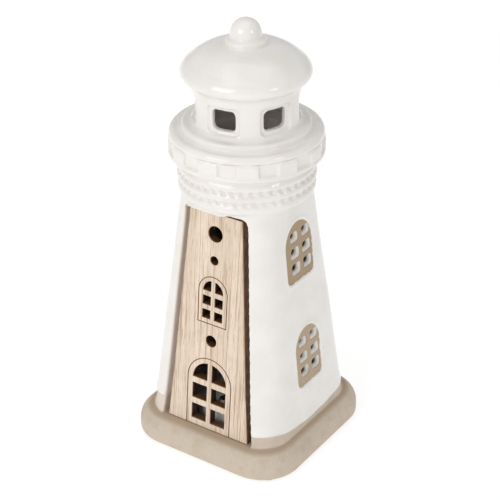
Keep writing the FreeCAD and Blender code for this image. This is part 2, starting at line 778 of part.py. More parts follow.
plate_top = dims.flange_low + dims.flange_thickness
well_x = -dims.well_offset
well_radius = dims.cell_radius + dims.well_clearance
cell_low = dims.flange_low + dims.door_thickness + 0.1
cell_top = cell_low + dims.cell_thickness
well_ceiling = cell_top + 0.75
well_top = well_ceiling + 1.1
board_top = dims.board_level + dims.board_thickness
cover_top = dims.cup_top + dims.cover_thickness
positive_y = -dims.cell_radius - 0.45
negative_y = Size(5.85)
PIN_SPACING = 2.5
LEAD_SPACING = 1.27
CHIP_LEGS = 4


def door_shape(name, margin, low, height):
    """The battery door in plan: a disc over the well with a lug towards its screw."""
    disc = cylinder(f"{name}_disc", dims.door_radius + margin, height, well_x, 0, low)
    lug_x, lug_y = dims.door_screw_x, dims.door_screw_y
    lug = cylinder(f"{name}_lug", dims.lug_radius + margin, height, lug_x, lug_y, low)
    reach_x, reach_y = lug_x - well_x, lug_y
    direction = math.atan2(reach_y.value, reach_x.value)
    neck = doc.addObject("Part::Box", f"{name}_neck")
    half = dims.lug_radius + margin
    bind(neck, Length=math.hypot(reach_x.value, reach_y.value), Width=half * 2, Height=height)
    place(neck, well_x + half * math.sin(direction), -half * math.cos(direction), low,
          math.degrees(direction))
    return joined(f"{name}_plan", [disc, lug, neck])


def unit_housing():
    """Cup with a flange, a battery well that opens downwards, bosses and a slot for the switch."""
    flange = cylinder("flange", dims.flange_radius, dims.flange_thickness, z=dims.flange_low)
    cup = cylinder("cup", dims.unit_radius, dims.cup_top - dims.flange_low, z=dims.flange_low)
    inside = cylinder("cup_inside", dims.unit_radius - dims.unit_wall, dims.cup_top, z=plate_top)
    shell = cut("unit_shell", joined("unit_blank", [flange, cup]), inside)
    well = cylinder("well_wall", well_radius + 1.1, well_top - plate_top + 0.2, well_x, 0, plate_top - 0.2)
    bosses = [cylinder("door_boss", dims.boss_radius - 0.3, 5, dims.door_screw_x, dims.door_screw_y,
                       plate_top - 0.2)]
    for side in (-1, 1):
        bosses.append(cylinder("cover_boss", dims.boss_radius, dims.cup_top - plate_top + 0.2,
                               0, dims.boss_offset * side, plate_top - 0.2))
        bosses.append(cylinder("board_post", 1.5, dims.board_level - plate_top + 0.2,
                               dims.switch_offset - 0.4, 6.8 * side, plate_top - 0.2))
    solid = joined("unit_solid", [shell, well, *bosses])
    thread_hole = dims.screw_radius + 0.02
    spaces = [
        door_shape("door_opening", dims.door_gap, 0, dims.flange_low + dims.door_thickness + 0.05),
        cylinder("well_space", well_radius, well_ceiling, well_x, 0, 0),
        box("knob_slot", dims.switch_offset, 0, 0, dims.knob_width + 0.5,
            dims.knob_length + dims.switch_travel + 0.5, plate_top + 0.1),
        box("positive_slot", well_x, positive_y, cell_low - 0.05, 3.0, 1.1, 8),
        box("negative_slot", well_x, negative_y, 4, 2.6, 0.9, 8),
        cylinder("door_screw_hole", thread_hole, 6.6, dims.door_screw_x, dims.door_screw_y, 0),
    ]
    for side in (-1, 1):
        spaces.append(cylinder("cover_screw_hole", thread_hole, 7,
                               0, dims.boss_offset * side, dims.cup_top - 6))
    result = solid
    for number, space in enumerate(spaces):
        result = cut(f"unit_step_{number}", result, space)
    node(result, "unit_housing")


def unit_seal_ring():
    """Soft ring with two ribs, which grips the hole in the ceramic."""
    body = new_body("seal_ring")
    sketch = sketch_on(body, "seal_profile", "XZ_Plane")
    inner = dims.unit_radius + 0.02
    outer = dims.unit_hole_radius - 0.05
    low = dims.foot_hollow_depth + 0.3
    outline(sketch, [
        (inner, low), (outer - 0.45, low, 0.4), (outer - 0.45, low + 1.1),
        (outer - 0.45, low + 1.5, 0.4), (outer - 0.45, low + 2.6), (inner, low + 2.6),
    ])
    revolve(body, sketch)
    node(body, "unit_seal_ring")


def unit_cover():
    """Lid of the light unit, with a collar round the LED."""
    disc = cylinder("cover_disc", dims.unit_radius, dims.cover_thickness, z=dims.cup_top)
    collar = cylinder("cover_collar", dims.lamp_radius + 1.7, 3.2, z=dims.cup_top)
    lip = cylinder("cover_lip", dims.unit_radius - dims.unit_wall - 0.1, 0.9, z=dims.cup_top - 0.8)
    lip_inside = cylinder("cover_lip_inside", dims.unit_radius - dims.unit_wall - 1.0, 3, z=dims.cup_top - 2)
    lid = joined("cover_blank", [disc, collar, cut("cover_lip_ring", lip, lip_inside)])
    spaces = [cylinder("lamp_hole", dims.lamp_radius + 0.5, 9, z=dims.cup_top - 2)]
    for side in (-1, 1):
        middle = dims.boss_offset * side
        spaces.append(cylinder("cover_screw_way", dims.screw_radius + 0.15, 5, 0, middle, dims.cup_top - 2))
        spaces.append(cylinder("cover_boss_way", dims.boss_radius + 0.2, 2, 0, middle, dims.cup_top - 2))
    result = lid
    for number, space in enumerate(spaces):
        result = cut(f"cover_step_{number}", result, space)
    node(result, "unit_cover")


def screw(name, length):
    """A small cross-head screw, head down at the origin, shank upwards."""
    head = doc.addObject("Part::Cone", f"{name}_head")
    bind(head, Radius1=dims.screw_head_radius - 0.4, Radius2=dims.screw_head_radius, Height=0.9)
    shank = cylinder(f"{name}_shank", dims.screw_radius, length, z=0.8)
    blank = joined(f"{name}_blank", [head, shank])
    for number, sides in enumerate(((0.4, 2.0), (2.0, 0.4))):
        slot = box(f"{name}_slot_{number}", 0, 0, -0.5, *sides, 1.0)
        blank = cut(f"{name}_driven_{number}", blank, slot)
    return blank


def cover_screws():
    screws = []
    for side in (-1, 1):
        item = screw(f"cover_screw_{'near' if side < 0 else 'far'}", 6.5)
        place(item, 0, dims.boss_offset * side, cover_top + 0.9, 180, (1, 0, 0))
        screws.append(item)
    node(group("cover_screws", screws), "cover_screws")


def door_screw():
    item = screw("door_screw", 4.5)
    node(item, "door_screw")
    place(item, dims.door_screw_x, dims.door_screw_y, dims.pad_thickness + dims.flange_low + 0.05)


def battery_door():
    """Flat door over the battery, with a counterbored lug and a finger groove."""
    plate = door_shape("battery_door", Size(0), dims.flange_low, dims.door_thickness)
    way = cylinder("door_screw_way", dims.screw_radius + 0.1, 5, dims.door_screw_x, dims.door_screw_y)
    bore = cylinder("door_counterbore", dims.screw_head_radius + 0.15, dims.flange_low + 1.0,
                    dims.door_screw_x, dims.door_screw_y)
    result = cut("door_bored", cut("door_drilled", plate, way), bore)
    for number in range(3):
        groove = box(f"finger_groove_{number}", well_x - 6 + 1.6 * number, 0, 0, 0.8, 9,
                     dims.flange_low + 0.4)
        result = cut(f"door_grooved_{number}", result, groove)
    node(result, "battery_door")


def coin_cell():
    """A lithium coin cell: the wide can below, the smaller cap above."""
    body = new_body("cell")
    sketch = sketch_on(body, "cell_profile", "XZ_Plane")
    radius, height = dims.cell_radius, dims.cell_thickness
    outline(sketch, [
        (0, 0), (radius - 0.4, 0, 0.12), (radius, 0.4), (radius, height - 0.7, 0.1),
        (radius - 0.4, height - 0.35), (radius - 1.1, height - 0.35), (radius - 1.3, height),
        (0, height),
    ])
    revolve(body, sketch)
    node(body, "coin_cell")
    place(body, well_x, 0, dims.pad_thickness + cell_low)


def strip(name, points, x, width):
    """A bent metal strip: its side view in the YZ plane, and its width along X."""
    body = new_body(f"{name}_strip")
    sketch = sketch_on(body, f"{name}_bend", "YZ_Plane", height=x)
    outline(sketch, points)
    pad(body, sketch, width, both=True)
    return node(body, name)


def contacts():
    tip = board_top + 0.5
    outer, inner = positive_y - 0.15, positive_y + 0.15
    strip("positive_contact", [
        (outer, cell_low + 0.2), (inner, cell_low + 0.2), (inner + 0.26, cell_low + 1.0),
        (inner + 0.26, cell_low + 1.6), (inner, cell_low + 2.4), (inner, tip), (outer, tip),
    ], well_x, 2.2)
    near, far = negative_y - 0.15, negative_y + 0.15
    strip("negative_contact", [
        (near, tip), (near, cell_top + 0.66), (0.1, cell_top + 0.34), (-2.2, cell_top + 0.68),
        (-2.3, cell_top + 0.38), (0.0, cell_top + 0.03), (far, cell_top + 0.36), (far, tip),
    ], well_x, 2.0)


def led_board():
    blank = box("board_blank", 0, 0, dims.board_level, dims.board_length, dims.board_width,
                dims.board_thickness)
    low = dims.board_level - 1
    holes = [box("negative_way", well_x, negative_y, low, 2.4, 0.7, 4)]
    for side in (-1, 1):
        holes.append(cylinder("lead_way", 0.45, 4, LEAD_SPACING * side, 0, low))
        holes.append(cylinder("resistor_way", 0.4, 4, well_x - 1.5 + 5.0 * side, -6, low))
    for number in (-1, 0, 1):
        holes.append(cylinder("pin_way", 0.5, 4, dims.switch_offset, PIN_SPACING * number, low))
    result = blank
    for number, hole in enumerate(holes):
        result = cut(f"board_step_{number}", result, hole)
    node(result, "led_board")


def led_lamp():
    """A 5 mm LED: collar, barrel and round nose."""
    body = new_body("lamp")
    sketch = sketch_on(body, "lamp_profile", "XZ_Plane")
    radius, top = dims.lamp_radius, dims.lamp_height
    outline(sketch, [
        (0, 0), (radius + 0.35, 0), (radius + 0.35, 1.0), (radius, 1.0),
        (radius, top - radius, arc_rise(radius, radius, radius)), (0, top),
    ])
    revolve(body, sketch)
    node(body, "led_lamp")
    place(body, 0, 0, dims.pad_thickness + board_top + 0.5)


def led_leads():
    low = dims.board_level - 0.8
    legs = [cylinder("lead", 0.25, board_top + 0.5 - low, LEAD_SPACING * side, 0, low) for side in (-1, 1)]
    node(group("led_leads", legs), "led_leads")


def resistor():
    """Axial resistor lying on the board, its legs bent down through it."""
    middle_x, y, z = well_x - 1.5, Size(-6), board_top + 1.3
    pieces = []
    for name, radius, length in (("resistor_barrel", 0.85, 5.2), ("resistor_wire", 0.25, 10.0)):
        item = doc.addObject("Part::Cylinder", name)
        bind(item, Radius=radius, Height=length)
        place(item, middle_x - length / 2, y, z, 90, (0, 1, 0))
        pieces.append(item)
    for side in (-1, 1):
        end = doc.addObject("Part::Cylinder", "resistor_end")
        bind(end, Radius=1.15, Height=1.5)
        place(end, middle_x + 1.9 * side - 0.75, y, z, 90, (0, 1, 0))
        leg = cylinder("resistor_leg", 0.25, 3.4, middle_x + 5.0 * side, y, z - 3.2)
        pieces += [end, leg]
    node(joined("resistor", pieces), "resistor")


def timer_chip():
    """The small chip that times the light, with four legs on each side."""
    x, y = well_x - 3.5, Size(1.0)
    body = box("chip_body", x, y, board_top + 0.2, 5.0, 3.9, 1.4)
    legs = []
    for number in range(CHIP_LEGS):
        leg_x = x + 1.27 * (number - (CHIP_LEGS - 1) / 2)
        for side in (-1, 1):
            legs.append(box("chip_foot", leg_x, y + 2.6 * side, board_top + 0.02, 0.4, 1.0, 0.2))
            legs.append(box("chip_leg", leg_x, y + 2.2 * side, board_top + 0.02, 0.4, 0.6, 0.8))
    node(joined("timer_chip", [body, *legs]), "timer_chip")


def switch():
    low = plate_top + 0.05
    can = box("switch_can", dims.switch_offset, 0, low, 3.7, 8.6, 3.4)
    way = box("switch_way", dims.switch_offset, 0, low - 1, dims.knob_width + 0.3,
              dims.knob_length + dims.switch_travel + 0.3, 2.6)
    node(cut("switch_hollow", can, way), "switch_body")
    pins = [cylinder("switch_pin", 0.3, board_top + 0.6 - low - 3.42, dims.switch_offset,
                     PIN_SPACING * number, low + 3.42) for number in (-1, 0, 1)]
    node(group("switch_terminals", pins), "switch_terminals")
    knob = box("switch_knob", dims.switch_offset, -dims.switch_travel / 2, dims.flange_low - 0.55,
               dims.knob_width, dims.knob_length, low + 1.4 - dims.flange_low + 0.55)
    for number in range(2):
        groove = box(f"knob_groove_{number}", dims.switch_offset, -dims.switch_travel / 2 - 0.5 + number,
                     0, dims.knob_width + 1, 0.4, dims.flange_low - 0.3)
        knob = cut(f"knob_grooved_{number}", knob, groove)
    node(knob, "switch_slider")


SUB_PARTS = (ceramic_body, front_panel, panel_glue, foot_pads, unit_housing, unit_seal_ring,
             unit_cover, cover_screws, door_screw, battery_door, coin_cell, contacts, led_board,
             led_lamp, led_leads, resistor, timer_chip, switch)


def check_and_export():
    doc.recompute()
    for item in doc.Objects:
        if "Invalid" in item.State or "Error" in item.State:
            raise RuntimeError(f"{item.Name} failed: {item.State}")
    os.makedirs("parts", exist_ok=True)
    for item in nodes:
        shape = item.Shape
        if shape.isNull() or not shape.isValid() or not shape.Solids:
            raise RuntimeError(f"{item.Label} has no valid shape")
        shape.exportStep(f"parts/{item.Label}.step")
        room = shape.optimalBoundingBox(False, False)
        print(f"{item.Label:18s} {len(shape.Solids)} solids {shape.Volume:9.1f} mm3"
              f"  x {room.XMin:.2f} {room.XMax:.2f}  y {room.YMin:.2f} {room.YMax:.2f}"
              f"  z {room.ZMin:.2f} {room.ZMax:.2f}")


for build in SUB_PARTS:
    build()
check_and_export()
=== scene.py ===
import math

import bpy
import numpy as np
from mathutils import Matrix, Vector


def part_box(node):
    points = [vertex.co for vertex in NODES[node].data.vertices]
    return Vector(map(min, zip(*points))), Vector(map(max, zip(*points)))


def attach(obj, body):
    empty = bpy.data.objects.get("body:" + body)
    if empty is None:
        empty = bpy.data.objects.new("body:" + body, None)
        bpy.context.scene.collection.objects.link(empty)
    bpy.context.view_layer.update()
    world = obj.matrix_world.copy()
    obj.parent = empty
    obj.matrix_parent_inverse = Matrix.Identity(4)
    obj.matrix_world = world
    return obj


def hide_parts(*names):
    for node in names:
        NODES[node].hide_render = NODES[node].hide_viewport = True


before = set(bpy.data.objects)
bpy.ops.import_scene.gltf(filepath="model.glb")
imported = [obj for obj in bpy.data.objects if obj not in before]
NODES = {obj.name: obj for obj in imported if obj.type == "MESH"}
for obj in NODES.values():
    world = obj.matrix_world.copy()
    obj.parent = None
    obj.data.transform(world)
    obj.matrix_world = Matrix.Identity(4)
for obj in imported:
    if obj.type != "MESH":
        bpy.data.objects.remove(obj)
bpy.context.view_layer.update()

# A white glazed lighthouse ornament with bare clay at its foot, a laser-cut plywood front and a
# battery light unit in its base. Sizes are in millimetres; MM turns them into the scene's metres.

MM = 0.001
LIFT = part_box("foot_pads")[1][2] / MM            # the ceramic stands this high on its felt pads
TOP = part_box("ceramic_body")[1][2] / MM          # top of the ball

# the casting: levels above its own underside, and half widths
PLINTH_TOP = 9.06
TOWER_TOP = 87.06
TOWER_LOW_HALF = 25.7
TOWER_HIGH_HALF = 18.1
TOWER_SLOPE = (TOWER_LOW_HALF - TOWER_HIGH_HALF) / (TOWER_TOP - PLINTH_TOP)
SIDE_WALL = 3.6                                  # what lies further in is the tower's hollow
FRONT_WALL = 5.0
ROPE_LOW = 87.4                                  # underside of the rope rings
ROPE_GROOVES = ((91.7, 0.40), (95.3, 0.55))      # level of each groove, depth of its notches
ROPE_TWISTS = 44
GALLERY_MIDDLE = 105.0
GALLERY_LIP = 106.35
DOME_LIP = 127.3
LIP_LOSS = 0.3 / 19.5                            # share of the dome's radius that rounding takes
FACE_LIMIT = 196_000                             # triangles in the finished casting
# level and radius: a face of the head that lies within these radii is part of its hollow
HEAD_HOLLOW = ((87.4, 18.0), (99, 18.0), (102, 20.8), (106, 20.6), (109.5, 13.9), (122.5, 13.9),
               (126, 16.2), (129.5, 13.5), (132.5, 8.5), (133.5, 2.0))

# each bare field on a side: bottom, top, half width, and its middle's distance behind the axis
SIDE_FIELDS = ((23.6, 43.8, 6.9, 0.0), (61.0, 80.8, 7.3, -0.4))
FIELD_CORNER = 2.0
FIELD_HEAD = 1.05                                # height of a field's round head in half widths

PANEL_LENGTH = 76.4
PANEL_THICKNESS = 3.0
# each of two lines, the outer of which is the panel's edge: half width at the foot, loss going up
PANEL_FLANKS = ((15.55, 0.0912), (15.245, 0.0732))
RECESS_GAP = 2.05                                # between the panel and the sides of its recess
HEAD_GAP = 1.2                                   # between the panel and the top of its recess

# the lower edge of the glaze: its mean level, and its waves round the tower as number, shift, size
GLAZE_LEVEL = 12.98
GLAZE_WAVES = ((4, math.pi / 2, -0.87), (1, 0.0, -0.35), (1, math.pi / 2, -1.70), (7, 1.0, 0.16),
               (17, 0.0, 0.09))

# the casting's mesh: spacing of its points, rounds of softening everywhere and at chosen edges
VOXEL, ALL_ROUNDS, EDGE_ROUNDS = ((0.3, 4, 80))


# ---------------------------------------------------------------- material helpers

class Shader:
    """A procedural material: a Principled shader and short calls that add nodes to it."""

    def __init__(self, name, **sockets):
        self.material = bpy.data.materials.new(name)
        self.material.use_nodes = True
        self.nodes = self.material.node_tree.nodes
        self.links = self.material.node_tree.links
        self.bsdf = self.nodes["Principled BSDF"]
        for socket, value in sockets.items():
            self.link(value, self.bsdf.inputs[socket.replace("_", " ")])

    def link(self, value, socket):
        if isinstance(value, bpy.types.NodeSocket):
            self.links.new(value, socket)
        else:
            socket.default_value = value

    def node(self, kind, output=0, inputs=()):
        item = self.nodes.new(kind)
        for name, value in dict(inputs).items():
            self.link(value, item.inputs[name])
        return item.outputs[output]

    def math(self, operation, *values):
        item = self.nodes.new("ShaderNodeMath")
        item.operation = operation
        for number, value in enumerate(values):
            self.link(value, item.inputs[number])
        return item.outputs[0]

    def plus(self, first, second):
        return self.math("ADD", first, second)

    def minus(self, first, second):
        return self.math("SUBTRACT", first, second)

    def larger(self, first, second):
        return self.math("MAXIMUM", first, second)

    def product(self, first, *others):
        for value in others:
            first = self.math("MULTIPLY", first, value)
        return first

    def apart(self, value, middle):
        return self.math("ABSOLUTE", self.minus(value, middle))

    def length(self, first, second):
        squares = self.math("MULTIPLY_ADD", first, first, self.product(second, second))
        return self.math("SQRT", squares)

    def panel_half(self, up):
        """What the function panel_half says, for a distance up that a node gives."""
        return self.larger(*(self.math("MULTIPLY_ADD", up, -loss, foot) for foot, loss in PANEL_FLANKS))

    def axes(self, vector):
        parts = self.nodes.new("ShaderNodeSeparateXYZ")
        self.links.new(vector, parts.inputs[0])
        return list(parts.outputs)

    def place(self):
        """Position on the object in millimetres, as x, y and z."""
        return [self.math("DIVIDE", part, MM)
                for part in self.axes(self.node("ShaderNodeTexCoord", "Object"))]

    def stretched(self, x=1.0, y=1.0, z=1.0):
        """Object position in millimetres, with each axis scaled: fewer waves along a small scale."""
        return self.node("ShaderNodeMapping", 0, {
            "Vector": self.node("ShaderNodeTexCoord", "Object"), "Scale": (x / MM, y / MM, z / MM)})

    def noise(self, vector, scale, detail=2.0, roughness=0.5, distortion=0.0):
        return self.node("ShaderNodeTexNoise", "Fac", {
            "Vector": vector, "Scale": scale, "Detail": detail, "Roughness": roughness,
            "Distortion": distortion})

    def ramp(self, value, low, high, to_low=0.0, to_high=1.0, smooth=True):
        """Map value from low..high to to_low..to_high, held at both ends."""
        item = self.nodes.new("ShaderNodeMapRange")
        item.interpolation_type = "SMOOTHSTEP" if smooth else "LINEAR"
        for number, part in enumerate((value, low, high, to_low, to_high)):
            self.link(part, item.inputs[number])
        return item.outputs[0]

    def mix(self, factor, first, second):
        item = self.nodes.new("ShaderNodeMix")
        item.data_type = "RGBA"
        for name, value in (("Factor", factor), ("A", first), ("B", second)):
            socket = next(s for s in item.inputs if s.name == name and s.enabled)
            self.link(value, socket)
        return next(s for s in item.outputs if s.enabled)

    def bump(self, height, distance, strength=1.0):
        return self.node("ShaderNodeBump", 0, {
            "Height": height, "Distance": distance, "Strength": strength})

    def finish(self, color, roughness=None, normal=None, metallic=None):
        """Link what is given to the Principled shader, and return the material."""
        given = {"Base Color": color, "Roughness": roughness, "Normal": normal, "Metallic": metallic}
        for name, value in given.items():
            if value is not None:
                self.link(value, self.bsdf.inputs[name])
        return self.material


def rgb(red, green, blue):
    """A colour given as it looks on a screen, 0 to 255, as the linear colour of a shader."""
    def linear(value):
        value /= 255
        return value / 12.92 if value <= 0.04045 else ((value + 0.055) / 1.055) ** 2.4
    return (linear(red), linear(green), linear(blue), 1.0)


# ---------------------------------------------------------------- ceramic: shared formulas

def tower_half(level):
    """Half width of the tower at a height above the casting's underside."""
    return TOWER_LOW_HALF - TOWER_SLOPE * (level - PLINTH_TOP)


def panel_half(up):
    """Half width of the wooden panel at a distance up its slope."""
    return np.maximum(*(foot - up * loss for foot, loss in PANEL_FLANKS))


def glaze_line(angle):
    """Level of the lower edge of the glaze, by the angle round the tower from +X."""
    return GLAZE_LEVEL + sum(size * np.sin(times * angle + shift) for times, shift, size in GLAZE_WAVES)


def smoothstep(value, low, high):
    part = np.clip((value - low) / (high - low), 0, 1)
    return part * part * (3 - 2 * part)


def bell(value, middle, width):
    return np.exp(-((value - middle) / width) ** 2)


# ---------------------------------------------------------------- ceramic: mesh

def evaluated(piece):
    """Apply a piece's modifiers to its mesh."""
    mesh = bpy.data.meshes.new_from_object(piece.evaluated_get(bpy.context.evaluated_depsgraph_get()))
    piece.modifiers.clear()
    piece.data = mesh


def rows_of(items, name, width=3, kind=float):
    """One property of all vertices, edges or faces, as an array with a row for each."""
    values = np.empty(len(items) * width, kind)
    items.foreach_get(name, values)
    return values.reshape(-1, width)


def set_points(mesh, points):
    mesh.vertices.foreach_set("co", np.asarray(points, np.float32).ravel())
    mesh.update()


def relaxed(points, edges, rounds, amount=0.5):
    """Move each point towards the mean of its neighbours, which rounds edges off."""
    first, second = edges.T
    count = len(points)
    valence = np.bincount(first, minlength=count) + np.bincount(second, minlength=count)
    for _ in range(rounds):
        total = [np.bincount(first, row[second], count) + np.bincount(second, row[first], count)
                 for row in points.T]
        points = points + amount * (np.stack(total, axis=1) / valence[:, None] - points)
    return points


def softened(points, edges, weight, rounds):
    """Relax only the points that have a weight."""
    near = edges[(weight[edges] > 0).any(axis=1)]
    used, index = np.unique(near, return_inverse=True)
    points = points.copy()
    points[used] = relaxed(points[used], index.reshape(-1, 2), rounds, 0.5 * weight[used][:, None])
    return points


def recess_edge(x, y, level):
    """1 along the edges of the panel's recess, falling to 0 some millimetres from them."""
    up = level - PLINTH_TOP
    half = panel_half(up) + RECESS_GAP
    sides = 1 - smoothstep(np.abs(np.abs(x) - half), 2.2, 4.0)
    top = 1 - smoothstep(np.abs(up - PANEL_LENGTH - HEAD_GAP), 1.0, 2.0)
    near = np.where(up < PANEL_LENGTH - 1, sides, 0)
    near = np.maximum(near, np.where(np.abs(x) < half + 1, 0.3 * top, 0))
    front = smoothstep(-y, tower_half(level) - 4.4, tower_half(level) - 3.2)
    return near * front * smoothstep(up, 0.2, 1.5) * np.where(x < 0, 1.0, 0.3)


def dome_lip(radius, level):
    """1 round the lip of the dome, falling to 0 some millimetres from it."""
    return (1 - smoothstep(np.abs(level - DOME_LIP), 2.4, 3.8)) * smoothstep(radius, 16.6, 17.6)


def slumped_edge(x, y, level):
    """How far back the thick, rounded left edge of the recess lies."""
    reach = 3.6
    up = level - PLINTH_TOP
    beyond = -x - panel_half(up) - RECESS_GAP
    depth = y + tower_half(level)
    near = (1 - smoothstep(beyond, 0.0, 3.0)) * (beyond > -0.8) * smoothstep(up, 1.0, 4.0)
    near *= 1 - smoothstep(up, PANEL_LENGTH - 4, PANEL_LENGTH - 1)
    return 1.1 * near * np.clip(1 - depth / reach, 0, 1) * (depth < reach)


def soften_edges(mesh):
    """Round all edges off a little, and the recess's edges and the dome's lip more."""
    edges = rows_of(mesh.edges, "vertices", 2, np.int64)
    points = relaxed(rows_of(mesh.vertices, "co"), edges, ALL_ROUNDS)
    x, y, z = (points / MM).T
    level = z - LIFT
    points[:, 1] += slumped_edge(x, y, level) * MM
    lip = dome_lip(np.hypot(x, y), level)
    points = softened(points, edges, np.maximum(recess_edge(x, y, level), lip), EDGE_ROUNDS)
    points[:, :2] *= 1 + LIP_LOSS * lip[:, None]
    set_points(mesh, points)


def rope_depth(radius, level, angle):
    """How deep the slanted notches in the grooves between the ropes are."""
    depth = np.zeros_like(radius)
    for number, (groove, deep) in enumerate(ROPE_GROOVES):
        slant = 1.7 * (level - groove) + number * 1.9
        notch = (0.5 + 0.5 * np.cos(ROPE_TWISTS * angle + slant)) ** 1.5
        depth += deep * notch * bell(level, groove, 0.8)
    return depth * smoothstep(radius, 19.4, 20.3)


def field_distance(across, level, low, high, half, middle):
    """Distance from the edge of a round-headed field; negative inside it."""
    spring = high - half * FIELD_HEAD
    rise = np.maximum(level - spring, 0) * half / (high - spring)
    outside = np.hypot(across - middle, rise) - half + FIELD_CORNER
    under = low - level + FIELD_CORNER
    corner = np.hypot(np.maximum(outside, 0), np.maximum(under, 0))
    return corner + np.minimum(np.maximum(outside, under), 0) - FIELD_CORNER


def field_relief(x, y, level):
    """The bare fields lie lower than the glaze, inside a raised rim."""
    on_side = (np.abs(x) > tower_half(level) - 1.0) & (level > PLINTH_TOP) & (level < ROPE_LOW)
    relief = np.zeros_like(level)
    for field in SIDE_FIELDS:
        gap = field_distance(y, level, *field)
        relief += 0.28 * bell(gap, 0.75, 0.6) - 0.32 * (1 - smoothstep(gap, -0.35, 0.25))
    return np.where(on_side, relief, 0)


def glaze_relief(level, angle):
    """The glaze ends in a thick bead, and the clay under it lies lower."""
    above = level - glaze_line(angle)
    relief = 0.20 * bell(above, 0.75, 0.75) - 0.26 * (1 - smoothstep(above, -0.3, 0.45))
    return relief * smoothstep(level, PLINTH_TOP + 0.1, PLINTH_TOP + 1.0)


def hanging_glaze(x, y, level, normal_z):
    """The glaze closes the gap over the panel's top, except near its right corner."""
    hangs = (np.abs(level - PLINTH_TOP - PANEL_LENGTH - HEAD_GAP) < 1.6) & (y < 0) & (normal_z < -0.6)
    hangs &= (-y > tower_half(level) - 5.5) & (np.abs(x) < 13) & (level < ROPE_LOW - 0.5)
    return np.where(hangs, 1.0 - smoothstep(x, 2.0, 6.0), 0)


def uneven_skin(x, y, z):
    """Broad shallow waves on the tower, as a casting has."""
    on_tower = (z - LIFT > 12) & (z - LIFT < ROPE_LOW)
    waves = (np.sin(x * 0.31 + z * 0.17) + np.sin(y * 0.37 - z * 0.13 + 1.0)) * 0.035
    return np.where(on_tower, waves, 0)


def add_relief(mesh):
    """Push the points along their normals, and keep them above the pads."""
    points, normals = rows_of(mesh.vertices, "co"), rows_of(mesh.vertices, "normal")
    x, y, z = (points / MM).T
    level = z - LIFT
    radius, angle = np.hypot(x, y), np.arctan2(y, x)
    faces_out = normals[:, 0] * np.cos(angle) + normals[:, 1] * np.sin(angle)
    push = np.where(faces_out > -0.2, -rope_depth(radius, level, angle), 0)
    push += field_relief(x, y, level)
    push += np.where(faces_out > 0.3, glaze_relief(level, angle), 0)
    push += hanging_glaze(x, y, level, normals[:, 2])
    push += uneven_skin(x, y, z)
    edges = rows_of(mesh.edges, "vertices", 2, np.int64)
    points = relaxed(points + normals * (push * MM)[:, None], edges, 1)
    points[:, 2] = np.maximum(points[:, 2], LIFT * MM)
    set_points(mesh, points)


def ceramic_shell():
    """The casting as one soft-edged mesh, made from the CAD solid."""
    piece = bpy.data.objects.new("ceramic_shell", NODES["ceramic_body"].data.copy())
    bpy.context.scene.collection.objects.link(piece)
    remesh = piece.modifiers.new("even", "REMESH")
    remesh.mode = "VOXEL"
    remesh.voxel_size = VOXEL * MM
    evaluated(piece)
    soften_edges(piece.data)
    add_relief(piece.data)
    thin = piece.modifiers.new("thin", "DECIMATE")
    thin.ratio = min(1.0, FACE_LIMIT / (2 * len(piece.data.polygons)))
    evaluated(piece)
    piece.data.shade_smooth()
    paint_inside(piece.data)
    return piece


def paint_inside(mesh):
    """Give the faces of the hollow their own material slot."""
    mesh.materials.clear()
    mesh.materials.append(glaze_and_clay())
    mesh.materials.append(inside_clay())
    normals = rows_of(mesh.polygons, "normal")
    x, y, z = (rows_of(mesh.polygons, "center") / MM).T
    level = z - LIFT
    radius = np.hypot(x, y)
    faces_out = (normals[:, 0] * x + normals[:, 1] * y) / np.maximum(radius, 1e-6)
    half = tower_half(level)
    tower = (level < ROPE_LOW) & (level > PLINTH_TOP - 2) & (faces_out < 0.5)
    tower &= (np.maximum(np.abs(x), np.abs(y)) < half - SIDE_WALL) & (y > FRONT_WALL - half)
    head = (level >= ROPE_LOW) & (radius < np.interp(level, *zip(*HEAD_HOLLOW), right=0.0))
    mesh.polygons.foreach_set("material_index", (tower | head).astype(np.int32))
    mesh.update()


# ---------------------------------------------------------------- ceramic: materials

def glaze_cover(shader, level, angle, ragged):
    """1 above the wavy lower edge of the glaze."""
    line = GLAZE_LEVEL
    for times, shift, size in GLAZE_WAVES:
        turned = shader.math("MULTIPLY_ADD", angle, times, shift)
        line = shader.math("MULTIPLY_ADD", shader.math("SINE", turned), size, line)
    return shader.ramp(shader.plus(shader.minus(level, line), ragged), -0.16, 0.16)


def bare_fields(shader, from_side, y, level, ragged):
    """1 on the skin of a side inside its bare fields, by the formula of field_distance."""
    bare = 0.0
    for low, high, half, middle in SIDE_FIELDS:
        spring = high - half * FIELD_HEAD
        up = shader.product(shader.larger(shader.minus(level, spring), 0.0), half / (high - spring))
        outside = shader.minus(shader.length(shader.minus(y, middle), up), half - FIELD_CORNER)
        under = shader.minus(low + FIELD_CORNER, level)
        corner = shader.length(shader.larger(outside, 0.0), shader.larger(under, 0.0))
        inner = shader.math("MINIMUM", shader.larger(outside, under), 0.0)
        gap = shader.plus(shader.minus(shader.plus(corner, inner), FIELD_CORNER), ragged)
        bare = shader.larger(bare, shader.ramp(gap, -0.12, 0.14, 1.0, 0.0))
    return shader.product(bare, shader.ramp(from_side, 0.5, 0.66, 1.0, 0.0))


def painted_hole_shade(shader, from_side, y, level, ragged):
    """1 deep in the holes of the side fields, which are painted dark there as shade."""
    under_fields = 20.0
    depth = shader.plus(from_side, ragged)
    return shader.product(
        shader.ramp(depth, 1.5, 2.4), shader.ramp(shader.math("ABSOLUTE", y), 8.5, 9.0, 1.0, 0.0),
        shader.ramp(depth, 4.2, 4.6, 1.0, 0.0), shader.math("LESS_THAN", level, ROPE_LOW),
        shader.math("GREATER_THAN", level, under_fields))


